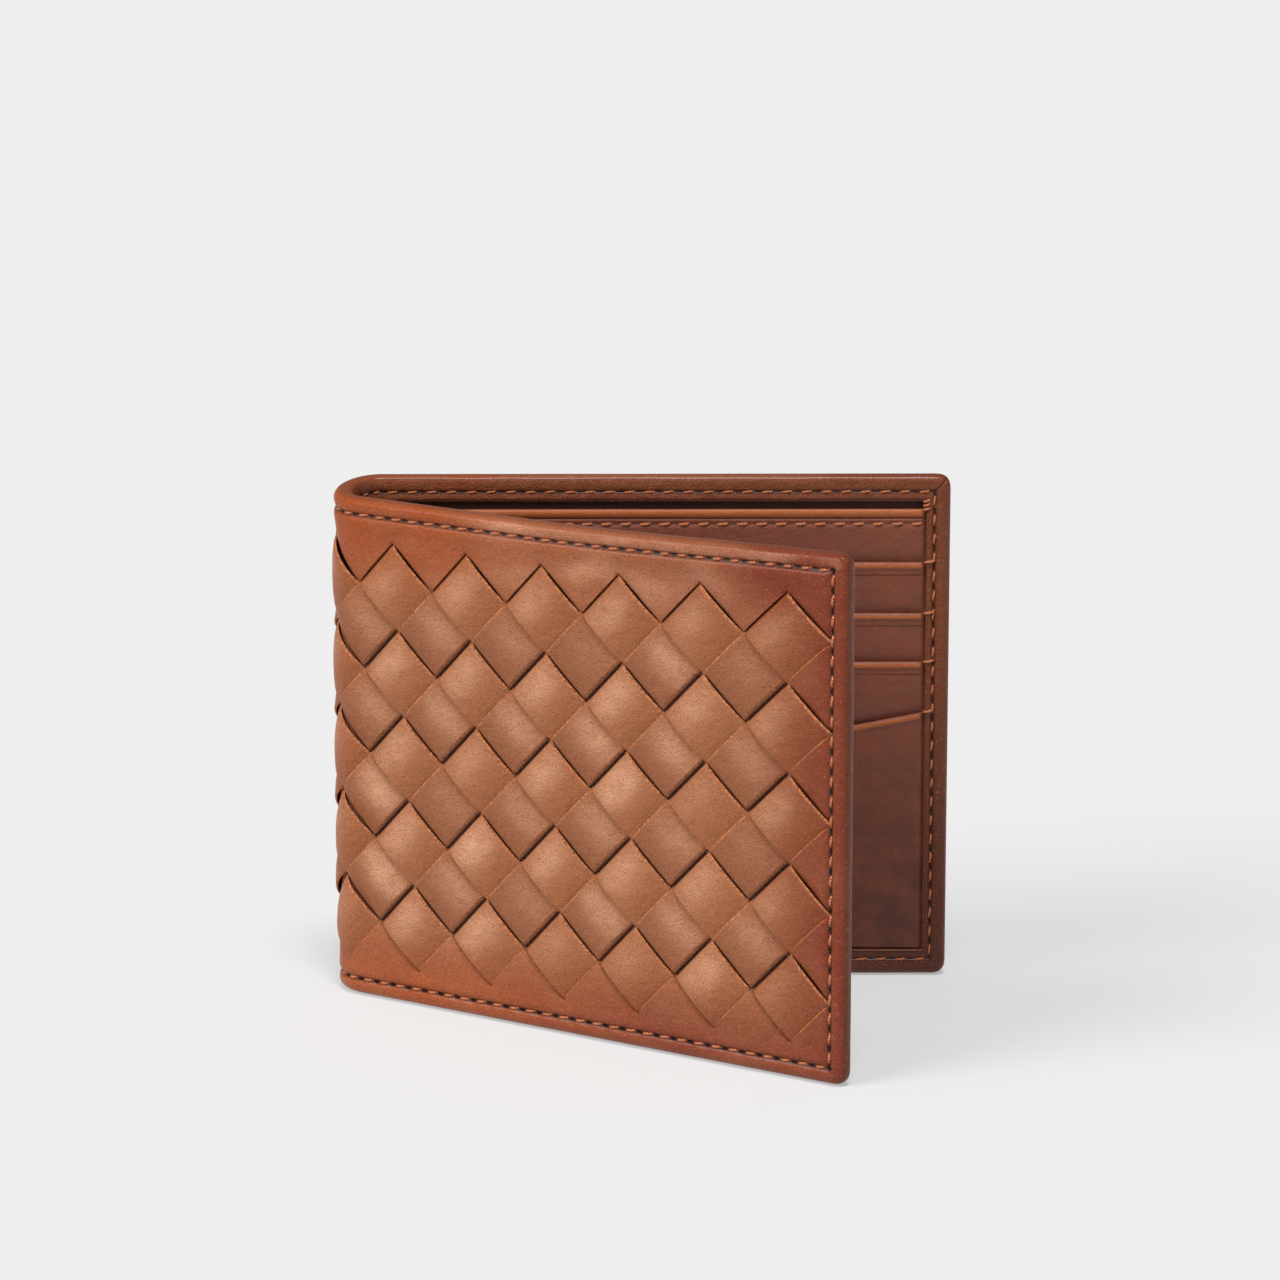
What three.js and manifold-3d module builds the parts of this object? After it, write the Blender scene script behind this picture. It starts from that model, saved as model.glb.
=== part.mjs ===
// A bifold wallet of woven leather, standing half open on its lower edge.
// Millimetres, +Z up. The back cover lies along +X, the fold is at -X, and the front cover opens
// towards -Y. Both covers are the same, mirrored about the plane that halves the opening.
import * as THREE from 'three';
import { mergeVertices } from 'three/addons/utils/BufferGeometryUtils.js';
import Module from 'manifold-3d';

const wasm = await Module();
wasm.setup();

// Driving dimensions
const HEIGHT = 95;
const FOLDED_WIDTH = 112.5;
const FOLD_RADIUS = 8.4;
const OPEN_ANGLE = THREE.MathUtils.degToRad(33.5);
const CORNER_RADIUS = 2.6;
const ARC_STEP = THREE.MathUtils.degToRad(6.2);

// Depths are measured inwards from the outer face of a cover
const LEATHER = 1.1;
const TURNED_EDGE_START = 2.9;
const EDGE_THICKNESS = 3.6;
const EDGE_WALL = 0.7;
const LAYERS = {
  strip: [1.2, 1.45],
  lining: [1.55, 1.85],
  divider: [2.1, 2.6],
  slipPanel: [2.7, 3.2],
};
const POCKET_THICKNESS = 0.6;
const POCKET_PITCH = 0.7;
const FIRST_POCKET_DEPTH = 3.3;

// Turned edges, seams and pockets across a cover
const BAND_TOP = 4.8;
const BAND_BOTTOM = 4.9;
const BAND_SIDE = 4.4;
const TUCK = 1.0;
const CLEARANCE = 0.3;
const SEAM_INSET = 3.0;
const THREAD_WIDTH = 0.5;
const GROOVE_WIDTH = 1.1;
const THREAD_DEPTHS = [0.05, 0.3];
const GROOVE_DEPTH = 0.45;
const DIVIDER_TOP = 88.7;
const DIVIDER_SEAM = 85.9;
const DIVIDER_THREAD_START = 1.0;
const POCKET_START = 7;
const POCKET_TOPS = [78.8, 69.2, 60.0];
const SLANT_TOP_AT_EDGE = 50.5;
const SLANT_SLOPE = 0.193;

// The weave: diamonds counted along the unrolled outside and up the cover
const CELLS_ALONG = 14;
const CELL_HEIGHT = 16.2;
const WEAVE_BOTTOM = 6.4;
const STRIP_TUCK = 1.8;
const STRIP_GAP = 0.35;
const SMALLEST_STRIP_AREA = 15;

// The fold turns about two lines on its outer surface, a quarter of the arc from either end
const COVER_LENGTH = FOLDED_WIDTH - FOLD_RADIUS;
const FOLD_SWEEP = Math.PI - OPEN_ANGLE;
const ARC_LENGTH = FOLD_RADIUS * FOLD_SWEEP;
const BACK_HINGE = Math.PI / 2 + FOLD_SWEEP / 4;
const FRONT_HINGE = Math.PI / 2 + FOLD_SWEEP * 3 / 4;
const HINGE_GAP = 0.3;
const CLOSING_WEDGE = Math.tan(THREE.MathUtils.degToRad(9));
const POCKET_SIDE = COVER_LENGTH - BAND_SIDE - CLEARANCE;
const POCKET_BOTTOM = BAND_BOTTOM + CLEARANCE;

function finish(color, roughness) {
  return new THREE.MeshStandardMaterial({ color, roughness, metalness: 0 });
}

const OUTER_LEATHER = finish(0xa8683c, 0.45);
const STRIP_LEATHER = finish(0xbd7d4e, 0.42);
const INNER_LEATHER = finish(0x74432f, 0.5);
const LINING = finish(0x5b382b, 0.85);
const THREAD = finish(0xd9925c, 0.7);

const wallet = new THREE.Group();
const frontCover = new THREE.Group();
frontCover.rotation.z = -OPEN_ANGLE;
wallet.add(frontCover);

// ---- solids ----

function toManifold(geometry) {
  const bare = geometry.clone();
  bare.deleteAttribute('normal');
  bare.deleteAttribute('uv');
  const merged = mergeVertices(bare, 1e-4);
  return new wasm.Manifold(new wasm.Mesh({
    numProp: 3,
    vertProperties: new Float32Array(merged.attributes.position.array),
    triVerts: new Uint32Array(merged.index.array),
  }));
}

function toGeometry(solid) {
  const mesh = solid.getMesh();
  const geometry = new THREE.BufferGeometry();
  geometry.setAttribute('position', new THREE.BufferAttribute(new Float32Array(mesh.vertProperties), 3));
  geometry.setIndex(new THREE.BufferAttribute(new Uint32Array(mesh.triVerts), 1));
  return geometry;
}

function cut(geometry, cutters) {
  let solid = toManifold(geometry);
  for (const cutter of cutters) {
    solid = solid.subtract(toManifold(cutter));
  }
  return toGeometry(solid);
}

// A plan outline raised from one height to another
function prism(outline, bottom, top) {
  const geometry = new THREE.ExtrudeGeometry(new THREE.Shape(outline), {
    depth: top - bottom,
    bevelEnabled: false,
  });
  return geometry.translate(0, 0, bottom);
}

// A shape seen square on to the back cover (x along it, y up), given its place in the layers
function plate(shape, [outer, inner]) {
  const geometry = new THREE.ExtrudeGeometry(shape, {
    depth: inner - outer,
    bevelEnabled: false,
    curveSegments: 6,
  });
  return geometry.rotateX(Math.PI / 2).translate(0, FOLD_RADIUS - outer, 0);
}

function polygon(points) {
  return new THREE.Shape(points.map(([x, y]) => new THREE.Vector2(x, y)));
}

function mirrored(geometry) {
  const copy = toGeometry(toManifold(geometry)).scale(1, -1, 1);
  const index = copy.index.array;
  for (let i = 0; i < index.length; i += 3) {
    [index[i + 1], index[i + 2]] = [index[i + 2], index[i + 1]];
  }
  return copy;
}

function add(parent, name, geometry, material) {
  const mesh = new THREE.Mesh(geometry, material.clone());
  mesh.name = name;
  parent.add(mesh);
}

function addCoverPiece(side, name, geometry, material) {
  if (side === 'back') {
    add(wallet, `back_${name}`, geometry, material);
  } else {
    add(frontCover, `front_${name}`, mirrored(geometry), material);
  }
}

// ---- the fold in plan ----

function arc(depth, from, to) {
  const radius = FOLD_RADIUS - depth;
  const steps = Math.max(2, Math.ceil(Math.abs(to - from) / ARC_STEP));
  const points = [];
  for (let i = 0; i <= steps; i += 1) {
    const angle = from + (to - from) * i / steps;
    points.push(new THREE.Vector2(radius * Math.cos(angle), radius * Math.sin(angle)));
  }
  return points;
}

// The angle by which a layer stops short of a hinge line, so that closing never jams it
function hingeInset(depth) {
  return (HINGE_GAP / 2 + depth * CLOSING_WEDGE) / (FOLD_RADIUS - depth);
}

// A layer of the back cover in plan: flat from its free end, then round the first quarter of the fold
function coverOutline([outer, inner], freeEnd, pastHinge = 0) {
  const outerEnd = BACK_HINGE - hingeInset(Math.max(outer, 0)) + pastHinge;
  const innerEnd = BACK_HINGE - hingeInset(inner) + pastHinge;
  return [
    new THREE.Vector2(freeEnd, FOLD_RADIUS - outer),
    ...arc(outer, Math.PI / 2, outerEnd),
    ...arc(inner, innerEnd, Math.PI / 2),
    new THREE.Vector2(freeEnd, FOLD_RADIUS - inner),
  ];
}

// A layer of the spine in plan: the middle half of the fold
function spineOutline([outer, inner], pastHinge = 0) {
  const outerInset = hingeInset(Math.max(outer, 0)) - pastHinge;
  const innerInset = hingeInset(inner) - pastHinge;
  return [
    ...arc(outer, BACK_HINGE + outerInset, FRONT_HINGE - outerInset),
    ...arc(inner, FRONT_HINGE - innerInset, BACK_HINGE + innerInset),
  ];
}

// ---- outer leather, with its edges turned over to the inside ----

const CAVITY = [LEATHER, TURNED_EDGE_START];
const WINDOW = [TURNED_EDGE_START - 0.1, EDGE_THICKNESS + 0.6];
const GROOVE = [-0.1, GROOVE_DEPTH];
const PAST_HINGE = THREE.MathUtils.degToRad(12);

function seamShape(width, start) {
  const low = SEAM_INSET - width / 2;
  const high = SEAM_INSET + width / 2;
  return polygon([
    [start, low], [COVER_LENGTH - low, low], [COVER_LENGTH - low, HEIGHT - low], [start, HEIGHT - low],
    [start, HEIGHT - high], [COVER_LENGTH - high, HEIGHT - high], [COVER_LENGTH - high, high], [start, high],
  ]);
}

function roundedEnd() {
  const shape = new THREE.Shape();
  shape.moveTo(-2 * FOLD_RADIUS, 0);
  shape.lineTo(COVER_LENGTH - CORNER_RADIUS, 0);
  shape.absarc(COVER_LENGTH - CORNER_RADIUS, CORNER_RADIUS, CORNER_RADIUS, -Math.PI / 2, 0, false);
  shape.absarc(COVER_LENGTH - CORNER_RADIUS, HEIGHT - CORNER_RADIUS, CORNER_RADIUS, 0, Math.PI / 2, false);
  shape.lineTo(-2 * FOLD_RADIUS, HEIGHT);
  shape.closePath();
  return plate(shape, [-1, FOLD_RADIUS * 2]);
}

function coverLeather() {
  const block = prism(coverOutline([0, EDGE_THICKNESS], COVER_LENGTH), 0, HEIGHT);
  const rounded = toManifold(block).intersect(toManifold(roundedEnd()));
  return cut(toGeometry(rounded), [
    prism(coverOutline(CAVITY, COVER_LENGTH - EDGE_WALL, PAST_HINGE), EDGE_WALL, HEIGHT - EDGE_WALL),
    prism(coverOutline(WINDOW, COVER_LENGTH - BAND_SIDE, PAST_HINGE), BAND_BOTTOM, HEIGHT - BAND_TOP),
    plate(seamShape(GROOVE_WIDTH, 0), GROOVE),
  ]);
}

function spineLeather() {
  const grooves = [SEAM_INSET, HEIGHT - SEAM_INSET].map((height) => prism(
    spineOutline(GROOVE, PAST_HINGE), height - GROOVE_WIDTH / 2, height + GROOVE_WIDTH / 2));
  return cut(prism(spineOutline([0, EDGE_THICKNESS]), 0, HEIGHT), [
    prism(spineOutline(CAVITY, PAST_HINGE), EDGE_WALL, HEIGHT - EDGE_WALL),
    prism(spineOutline(WINDOW, PAST_HINGE), BAND_BOTTOM, HEIGHT - BAND_TOP),
    ...grooves,
  ]);
}

// ---- strips that run through slits in the outer leather ----

function clip(points, distance) {
  const kept = [];
  points.forEach((point, i) => {
    const next = points[(i + 1) % points.length];
    const here = distance(point);
    const there = distance(next);
    if (here >= 0) {
      kept.push(point);
    }
    if (here * there < 0) {
      kept.push(point.clone().lerp(next, here / (here - there)));
    }
  });
  return kept;
}

const CELL_WIDTH = (2 * (COVER_LENGTH - SEAM_INSET) + ARC_LENGTH) / CELLS_ALONG;
const WEAVE_TOP = WEAVE_BOTTOM + 5 * CELL_HEIGHT;

// Strips slope down from the fold on the front cover and up from it on the back cover
function stripOutlines(side) {
  const slope = side === 'front' ? 1 : -1;
  const farEnd = COVER_LENGTH - SEAM_INSET;
  const field = [
    new THREE.Vector2(HINGE_GAP, WEAVE_BOTTOM - STRIP_TUCK),
    new THREE.Vector2(farEnd + STRIP_TUCK, WEAVE_BOTTOM - STRIP_TUCK),
    new THREE.Vector2(farEnd + STRIP_TUCK, WEAVE_TOP + STRIP_TUCK),
    new THREE.Vector2(HINGE_GAP, WEAVE_TOP + STRIP_TUCK),
  ];
  const count = (p) => (
    (p.y - WEAVE_BOTTOM) / CELL_HEIGHT - 0.5 + slope * (p.x - farEnd) / CELL_WIDTH);
  const gap = STRIP_GAP / CELL_HEIGHT;
  const outlines = [];
  for (let i = -CELLS_ALONG; i <= CELLS_ALONG; i += 1) {
    const lower = clip(field, (p) => count(p) - i - gap);
    const outline = clip(lower, (p) => i + 1 - gap - count(p));
    if (outline.length > 2 && Math.abs(THREE.ShapeUtils.area(outline)) > SMALLEST_STRIP_AREA) {
      outlines.push(outline);
    }
  }
  return outlines;
}

// ---- pockets ----

function pocketLayer(position) {
  const outer = FIRST_POCKET_DEPTH + position * POCKET_PITCH;
  return [outer, outer + POCKET_THICKNESS];
}

function panelShape(start, end, bottom, topAtStart, topAtEnd) {
  return polygon([[start, bottom], [end, bottom], [end, topAtEnd], [start, topAtStart]]);
}

function addCover(side) {
  addCoverPiece(side, 'cover_leather', coverLeather(), OUTER_LEATHER);
  const tucked = COVER_LENGTH - TUCK;
  const lining = prism(coverOutline(LAYERS.lining, tucked), TUCK, HEIGHT - TUCK);
  addCoverPiece(side, 'bill_lining', lining, LINING);
  const divider = prism(coverOutline(LAYERS.divider, tucked), TUCK, DIVIDER_TOP);
  addCoverPiece(side, 'bill_divider', divider, INNER_LEATHER);

  const slipTop = DIVIDER_SEAM - THREAD_WIDTH;
  const slip = panelShape(POCKET_START, POCKET_SIDE, POCKET_BOTTOM, slipTop, slipTop);
  addCoverPiece(side, 'slip_panel', plate(slip, LAYERS.slipPanel), INNER_LEATHER);
  POCKET_TOPS.forEach((top, i) => {
    const pocket = panelShape(POCKET_START, POCKET_SIDE, POCKET_BOTTOM, top, top);
    addCoverPiece(side, `card_pocket_${i + 1}`, plate(pocket, pocketLayer(i)), INNER_LEATHER);
  });
  const slantLow = SLANT_TOP_AT_EDGE - SLANT_SLOPE * (POCKET_SIDE - POCKET_START);
  const slant = panelShape(POCKET_START, POCKET_SIDE, POCKET_BOTTOM, slantLow, SLANT_TOP_AT_EDGE);
  addCoverPiece(side, 'slant_pocket', plate(slant, pocketLayer(POCKET_TOPS.length)), INNER_LEATHER);

  const edgeThread = plate(seamShape(THREAD_WIDTH, HINGE_GAP), THREAD_DEPTHS);
  addCoverPiece(side, 'edge_thread', edgeThread, THREAD);
  const dividerSeam = panelShape(
    DIVIDER_THREAD_START, POCKET_SIDE, DIVIDER_SEAM, DIVIDER_SEAM + THREAD_WIDTH, DIVIDER_SEAM + THREAD_WIDTH);
  const threadDepth = LAYERS.divider[1] + CLEARANCE / 3;
  addCoverPiece(side, 'divider_thread', plate(dividerSeam, [threadDepth, threadDepth + CLEARANCE]), THREAD);

  stripOutlines(side).forEach((outline, i) => {
    const name = `strip_${String(i + 1).padStart(2, '0')}`;
    addCoverPiece(side, name, plate(new THREE.Shape(outline), LAYERS.strip), STRIP_LEATHER);
  });
}

function addSpine() {
  add(wallet, 'spine_leather', spineLeather(), OUTER_LEATHER);
  add(wallet, 'spine_lining', prism(spineOutline(LAYERS.lining), TUCK, HEIGHT - TUCK), LINING);
  add(wallet, 'spine_divider', prism(spineOutline(LAYERS.divider), TUCK, DIVIDER_TOP), INNER_LEATHER);
  const seams = [['spine_thread_bottom', SEAM_INSET], ['spine_thread_top', HEIGHT - SEAM_INSET]];
  for (const [name, height] of seams) {
    const thread = prism(spineOutline(THREAD_DEPTHS), height - THREAD_WIDTH / 2, height + THREAD_WIDTH / 2);
    add(wallet, name, thread, THREAD);
  }
}

addCover('back');
addCover('front');
addSpine();

// The origin is the middle of the wallet's footprint
wallet.updateMatrixWorld(true);
const box = new THREE.Box3().setFromObject(wallet, true);
const centre = box.getCenter(new THREE.Vector3());
wallet.position.set(-centre.x, -centre.y, -box.min.z);

export default wallet;
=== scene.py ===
"""A half-open bifold wallet of woven leather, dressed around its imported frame.

Every leather piece is drawn flat first and then wrapped: w runs along the unrolled outside, from the
back cover's free edge (negative) round the fold to the front cover's free edge (positive), z runs up
and n stands out from the outer face. Flat sizes are in millimetres.
"""
import math
import bmesh
import bpy
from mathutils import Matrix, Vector, noise


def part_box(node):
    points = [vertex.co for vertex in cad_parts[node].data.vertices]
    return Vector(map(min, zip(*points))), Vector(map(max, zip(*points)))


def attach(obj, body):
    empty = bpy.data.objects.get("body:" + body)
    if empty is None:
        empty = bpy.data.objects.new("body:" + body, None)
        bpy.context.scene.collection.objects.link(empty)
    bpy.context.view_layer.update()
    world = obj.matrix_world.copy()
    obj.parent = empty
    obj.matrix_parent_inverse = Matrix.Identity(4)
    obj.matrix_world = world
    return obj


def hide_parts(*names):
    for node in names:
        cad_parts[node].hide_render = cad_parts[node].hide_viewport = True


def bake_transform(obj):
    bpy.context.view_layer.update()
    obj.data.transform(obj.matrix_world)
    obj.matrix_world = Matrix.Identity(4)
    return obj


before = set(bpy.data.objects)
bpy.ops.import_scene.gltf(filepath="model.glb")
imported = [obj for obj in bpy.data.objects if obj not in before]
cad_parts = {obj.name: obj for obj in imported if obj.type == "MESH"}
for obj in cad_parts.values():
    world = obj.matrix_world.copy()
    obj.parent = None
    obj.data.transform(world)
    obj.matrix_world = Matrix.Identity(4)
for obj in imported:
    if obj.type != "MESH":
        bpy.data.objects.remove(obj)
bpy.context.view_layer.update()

MM = 0.001

# ---- driving sizes, the same as the frame's ----
HEIGHT = 95.0
COVER_LENGTH = 104.1
FOLD_RADIUS = 8.4
OPEN_ANGLE = math.radians(33.5)
SEAM = 3.0
BAND_TOP, BAND_BOTTOM, BAND_SIDE = 4.8, 4.9, 4.4
DIVIDER_TOP = 88.7
DIVIDER_SEAM = 85.9
POCKET_START = 7.0
POCKET_TOPS = (78.8, 69.2, 60.0)
SLANT_TOP, SLANT_SLOPE = 50.5, 0.193
CELLS_ALONG, CELL_ROWS = 14, 5
CELL_H = 16.2
WEAVE_BOTTOM = 6.4

SWEEP = math.pi - OPEN_ANGLE
ARC = FOLD_RADIUS * SWEEP
MIDDLE_ANGLE = math.pi / 2 + SWEEP / 2
EDGE_W = ARC / 2 + COVER_LENGTH
SEAM_W = EDGE_W - SEAM
CELL_W = 2 * SEAM_W / CELLS_ALONG
WEAVE_LOW = WEAVE_BOTTOM + CELL_H / 2
WEAVE_HIGH = WEAVE_LOW + (CELL_ROWS - 1) * CELL_H

back_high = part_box("back_cover_leather")[1]
FOLD_X = back_high[0] / MM - COVER_LENGTH
FOLD_Y = back_high[1] / MM - FOLD_RADIUS

# The front cover's top edge has settled a little along most of its length
SETTLE = 1.6
SETTLE_FADE = 70.0
SETTLE_FROM = 10.0


def clamp(value, low=0.0, high=1.0):
    return max(low, min(high, value))


def ease(value):
    t = clamp(value)
    return t * t * (3 - 2 * t)


def bump(distance, width):
    return math.exp(-(distance / width) ** 2)


def settle(w, z):
    """How far the front cover's leather has sunk here."""
    along = ease((w + ARC / 2) / ARC) * ease((EDGE_W + 6 - w) / SETTLE_FADE)
    return SETTLE * along * ease((z - SETTLE_FROM) / (HEIGHT - SETTLE_FROM))


def wrap(w, z, n):
    """Where a point of the flat pattern is on the half-open wallet, in metres."""
    out = FOLD_RADIUS + n
    along = abs(w) - ARC / 2
    if along <= 0:
        angle = MIDDLE_ANGLE + w / FOLD_RADIUS
        x, y = out * math.cos(angle), out * math.sin(angle)
    elif w < 0:
        x, y = along, out
    else:
        x = along * math.cos(OPEN_ANGLE) - out * math.sin(OPEN_ANGLE)
        y = -along * math.sin(OPEN_ANGLE) - out * math.cos(OPEN_ANGLE)
    return Vector(((x + FOLD_X) * MM, (y + FOLD_Y) * MM, (z - settle(w, z)) * MM))


# The weave leans: its upper rows have crept back towards the fold, less and less near the seams
LEAN = 5.3
LEAN_REACH = 24.0


def lean(w, z):
    inside = max(SEAM_W - abs(w), 0)
    height = clamp((z - WEAVE_BOTTOM) / (CELL_ROWS * CELL_H))
    return w - LEAN * height * (1 - math.exp(-inside / LEAN_REACH))


# ---- the weave's lattice: p counts "\" boundaries and q counts "/" boundaries ----

def lattice(p, q):
    return SEAM_W + CELL_W * (p - q) / 2, WEAVE_LOW + CELL_H * (p + q) / 2


def zigzag(value, start, pitch, depth):
    """0 at start and every pitch from it, depth half-way between."""
    part = ((value - start) / pitch) % 1.0
    return depth * (1 - abs(2 * part - 1))


def weave_top(w):
    return WEAVE_HIGH + zigzag(w, SEAM_W, CELL_W, CELL_H / 2)


def weave_bottom(w):
    return WEAVE_LOW - zigzag(w, SEAM_W, CELL_W, CELL_H / 2)


def weave_side(z):
    return SEAM_W - zigzag(z, WEAVE_LOW, CELL_H, CELL_W / 2)


def dive_lines():
    """The "\" sides of the weave's outline, where strips lie over the border."""
    lines = []
    for k in range(CELLS_ALONG):
        peak = SEAM_W - CELL_W * (k + 0.5)
        lines.append(((peak, WEAVE_HIGH + CELL_H / 2), (peak + CELL_W / 2, WEAVE_HIGH)))
        lines.append(((peak - CELL_W / 2, WEAVE_LOW), (peak, WEAVE_LOW - CELL_H / 2)))
    for k in range(CELL_ROWS - 1):
        apex = WEAVE_LOW + CELL_H * (k + 0.5)
        lines.append(((SEAM_W - CELL_W / 2, apex), (SEAM_W, apex - CELL_H / 2)))
        lines.append(((-SEAM_W, apex + CELL_H / 2), (CELL_W / 2 - SEAM_W, apex)))
    return lines


DIVE_LINES = dive_lines()


def distance_to_line(w, z, line):
    (w0, z0), (w1, z1) = line
    length_2 = (w1 - w0) ** 2 + (z1 - z0) ** 2
    t = clamp(((w - w0) * (w1 - w0) + (z - z0) * (z1 - z0)) / length_2)
    return math.hypot(w - w0 - t * (w1 - w0), z - z0 - t * (z1 - z0))


# ---- drawing flat and wrapping ----

GRAIN, RAW = 0, 1


class Flat:
    """A piece drawn in the flat pattern, one closed solid after another."""

    def __init__(self):
        self.bm = bmesh.new()

    def weld(self, grid):
        """Join the points that coincide within one solid, and leave its neighbours apart."""
        bmesh.ops.remove_doubles(self.bm, verts=[vert for row in grid for vert in row], dist=1e-4)

    def sweep(self, loops, raw=()):
        """Join equal closed loops of (w, z, n) points, with raw naming the raw-edged spans."""
        rings = [[self.bm.verts.new(point) for point in loop] for loop in loops]
        count = len(loops[0])
        for ring, following in zip(rings, rings[1:]):
            for k in range(count):
                m = (k + 1) % count
                face = self.bm.faces.new((ring[k], ring[m], following[m], following[k]))
                face.material_index = RAW if k in raw else GRAIN
        for ring in (rings[0], rings[-1]):
            self.bm.faces.new(ring).material_index = RAW
        self.weld(rings)

    def slab(self, rows, thickness, lip=(0, 0)):
        """A sheet given by its top surface, with cut edges all round.

        lip slants the cut edge that borders on the weave, by its reach along w or along z.
        """
        top = [[self.bm.verts.new(point) for point in row] for row in rows]
        low = [[self.bm.verts.new((w, z, n - thickness)) for w, z, n in row] for row in rows]
        if lip[1]:
            for vert in low[0]:
                vert.co += Vector((0, lip[1], thickness / 2))
        if lip[0]:
            for row in low:
                row[0].co += Vector((lip[0], 0, thickness / 2))
        for grid in (top, low):
            for row, following in zip(grid, grid[1:]):
                for k in range(len(row) - 1):
                    self.bm.faces.new((row[k], row[k + 1], following[k + 1], following[k]))
        rims = [(top[0], low[0]), (top[-1], low[-1]),
                ([row[0] for row in top], [row[0] for row in low]),
                ([row[-1] for row in top], [row[-1] for row in low])]
        for upper, lower in rims:
            for k in range(len(upper) - 1):
                face = self.bm.faces.new((upper[k], upper[k + 1], lower[k + 1], lower[k]))
                face.material_index = RAW
        self.weld(top + low)

    def lean_over(self):
        for vert in self.bm.verts:
            vert.co.x = lean(vert.co.x, vert.co.y)

    def cut(self, at, keep):
        """Cut square across at one w, close the cut and keep what is towards keep (1 or -1)."""
        bm = self.bm
        cut = bmesh.ops.bisect_plane(
            bm, geom=bm.verts[:] + bm.edges[:] + bm.faces[:], plane_co=(at, 0, 0), plane_no=(keep, 0, 0),
            clear_inner=True, dist=1e-5)
        edges = [item for item in cut["geom_cut"] if isinstance(item, bmesh.types.BMEdge)]
        bmesh.ops.holes_fill(bm, edges=edges, sides=0)

    def finish(self, name, materials, tone=None, sharp=40):
        bm = self.bm
        flat = [vert.co.copy() for vert in bm.verts]
        for vert in bm.verts:
            vert.co = wrap(*vert.co)
        bmesh.ops.recalc_face_normals(bm, faces=bm.faces)
        mesh = bpy.data.meshes.new(name)
        bm.to_mesh(mesh)
        bm.free()
        mesh.attributes.new("flat", "FLOAT_VECTOR", "POINT").data.foreach_set(
            "vector", [value for point in flat for value in point])
        tones = [tone(*point) if tone else 0.5 for point in flat]
        mesh.attributes.new("tone", "FLOAT", "POINT").data.foreach_set("value", tones)
        for material in materials:
            mesh.materials.append(material)
        mesh.shade_smooth()
        mesh.set_sharp_from_angle(angle=math.radians(sharp))
        piece = bpy.data.objects.new(name, mesh)
        bpy.context.scene.collection.objects.link(piece)
        return piece


def spaced(start, end, step):
    count = max(1, round(abs(end - start) / step))
    return [start + (end - start) * k / count for k in range(count + 1)]


def smooth_curve(points, per_span=3):
    """Catmull-Rom through the points."""
    ends = [points[0]] + list(points) + [points[-1]]
    curve = []
    for a, b, c, d in zip(ends, ends[1:], ends[2:], ends[3:]):
        for k in range(per_span):
            t = k / per_span
            curve.append(tuple(
                0.5 * (2 * q + (r - p) * t + (2 * p - 5 * q + 4 * r - s) * t ** 2
                       + (3 * q - p - 3 * r + s) * t ** 3)
                for p, q, r, s in zip(a, b, c, d)))
    curve.append(points[-1])
    return curve


# ---- outer leather: the border and its turned edge ----

BORDER_LEVEL = 0.18
BORDER_THICKNESS = 0.8
CUT_LIP = 0.4
STITCH = 3.6


def seam_inset(w, z):
    """Distance inside the seam line."""
    return min(HEIGHT - SEAM - z, z - SEAM, SEAM_W - abs(w))


def border_height(w, z):
    near = min(distance_to_line(w, z, line) for line in DIVE_LINES)
    level = BORDER_LEVEL - 0.45 * (1 - clamp(near / 4.5)) ** 2.4 - 0.34 * bump(near, 0.32)
    inset = seam_inset(w, z)
    level -= 0.5 * bump(inset, 0.55)
    level += 0.1 * bump(inset - 1.6, 1.0)
    return level + 0.04 * noise.noise(Vector((w * 0.35, z * 0.35, 3.0)))


def border_tone_and_sheen(w, z, n):
    """Border tone: random, a painted sheen between seam and weave top, a painted highlight on the bead's
    crest.
    """
    along = ease((abs(w) - 20) / 30) * ease((SEAM_W - 6 - abs(w)) / 20)
    # Painted sheen near the top, between the seam and the weave.
    painted_sheen = 0.42 * along * bump(z - 86.5, 4.0)
    # Painted highlight along the crest of the top bead; the noise below is the border's random tone.
    crest = bump(n - 0.25, 0.3) if z > HEIGHT - SEAM + 0.4 and n > -1 else 0
    painted_sheen += 0.5 * crest * ease((abs(w) - 8) / 40)
    return clamp(0.1 + painted_sheen + 0.4 * noise.noise(Vector((w * 0.1, z * 0.2, 9.0))))


def add_border(flat, half):
    columns = spaced(-CELL_W, SEAM_W, CELL_W / 24)
    for limit, seam, lip in ((weave_top, HEIGHT - SEAM, 0), (weave_bottom, SEAM, CUT_LIP)):
        rows = []
        for part in [ease(k / 22) * 0.55 + k / 22 * 0.45 for k in range(23)]:
            row = []
            for w in columns:
                start = limit(half * w)
                z = start + (seam - start) * part
                row.append((half * w, z, border_height(half * w, z)))
            rows.append(row)
        flat.slab(rows, BORDER_THICKNESS, lip=(0, lip))
    for k in range(CELL_ROWS - 1):
        low = WEAVE_LOW + k * CELL_H
        rows = []
        for z in spaced(low, low + CELL_H, CELL_H / 24):
            start = weave_side(z)
            row = [start + (SEAM_W - start) * part / 14 for part in range(15)]
            rows.append([(half * w, z, border_height(half * w, z)) for w in row])
        flat.slab(rows, BORDER_THICKNESS, lip=(-half * CUT_LIP, 0))
    flat.lean_over()
    flat.cut(0, half)


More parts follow.
